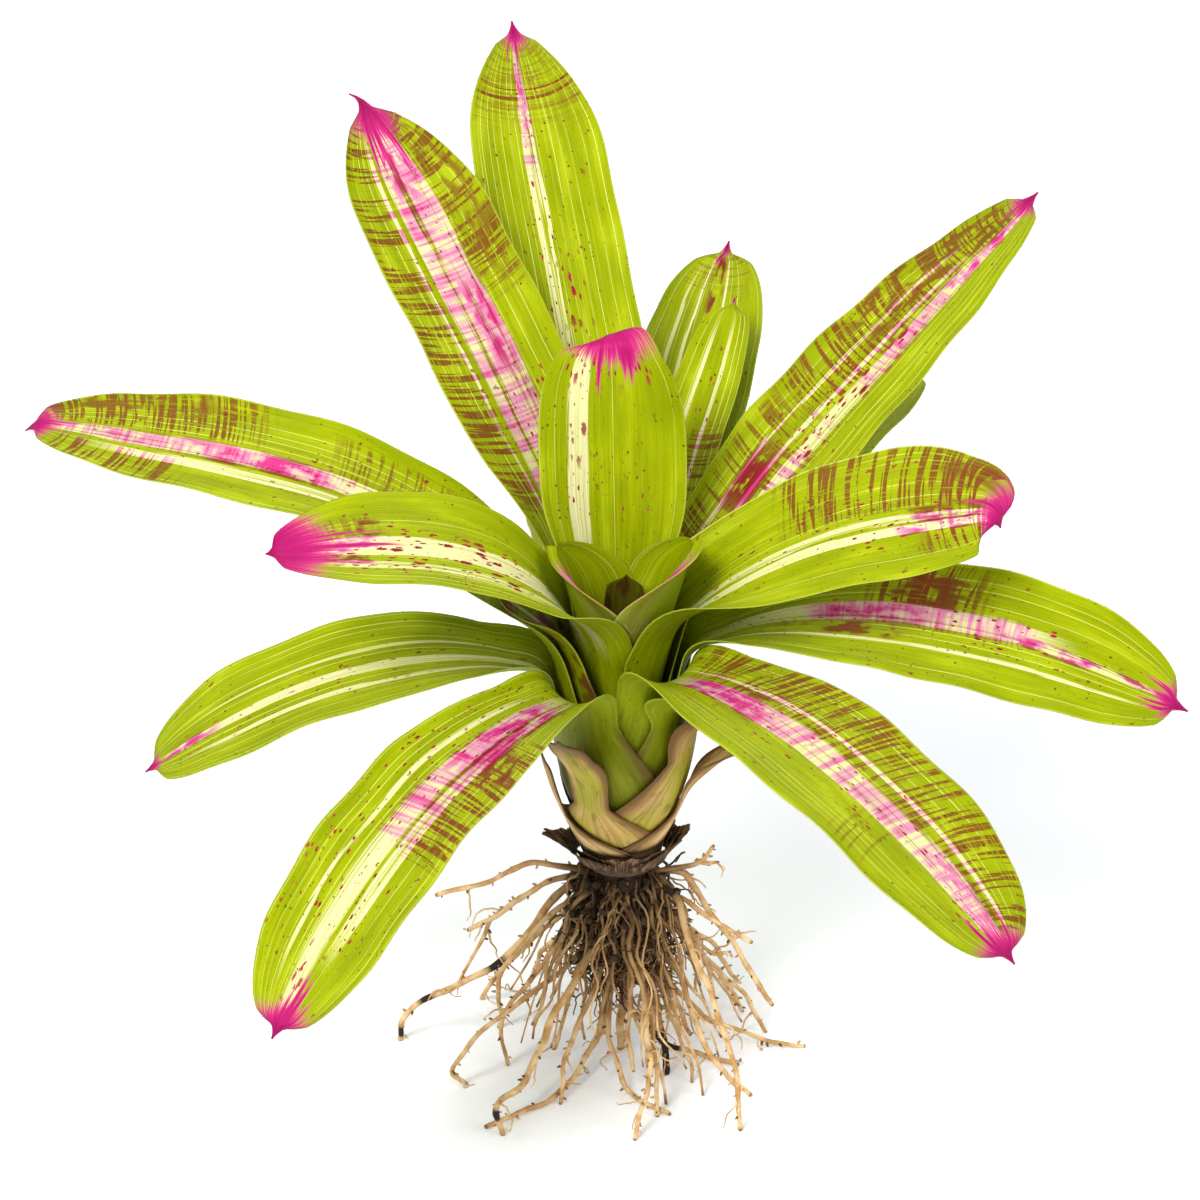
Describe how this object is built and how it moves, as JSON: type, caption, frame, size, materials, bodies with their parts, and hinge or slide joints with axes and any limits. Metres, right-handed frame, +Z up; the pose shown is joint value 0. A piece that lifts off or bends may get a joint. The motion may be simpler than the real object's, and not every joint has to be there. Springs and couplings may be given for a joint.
{
  "type": "bromeliad plant",
  "caption": "Bare-rooted neoregelia bromeliad: arching strap leaves in a rosette round a central cup, a bulb of wrapped leaf bases, and a mop of wiry roots it stands on.",
  "frame": {"origin": "on the surface that the plant stands on, under the axis of its stem, at the flat foot of the middle root", "axes": "+Z up along the stem, +X to the right and +Y to the back as seen from the front"},
  "size_m": [0.4441, 0.3712, 0.3714],
  "materials": {
    "leaf": "satin lime green with cream stripes and pink to maroon flecks",
    "old_leaf": "satin olive and tan with browned margins",
    "dry_leaf": "matte, papery tan",
    "dead_husk": "matte, dark brown fibres",
    "stem": "matte",
    "root": "matte tan with dark knots"
  },
  "bodies": {
    "root": {"heart_leaf": "leaf", "cup_leaf_left": "leaf", "cup_leaf_right": "leaf", "leaf_centre": "leaf", "leaf_left_inner": "leaf", "leaf_right_inner": "leaf", "leaf_top_left": "leaf", "leaf_top": "leaf", "leaf_right_upper": "leaf", "leaf_back_small": "leaf", "leaf_left_hidden": "leaf", "leaf_back_right": "leaf", "leaf_right_lower": "leaf", "leaf_left_upper": "leaf", "leaf_front_right": "leaf", "leaf_right_back": "leaf", "leaf_right_hidden": "leaf", "leaf_left_lower": "leaf", "leaf_front_left": "leaf", "leaf_back": "leaf", "old_leaf_right": "old_leaf", "old_leaf_left": "old_leaf", "dry_leaf_right": "dry_leaf", "dry_leaf_left": "dry_leaf", "dead_base_back": "dead_husk", "dead_base_front": "dead_husk", "dead_base_right": "dead_husk", "dead_base_left": "dead_husk", "stem": "stem", "roots": "root"}
  },
  "joints": []
}
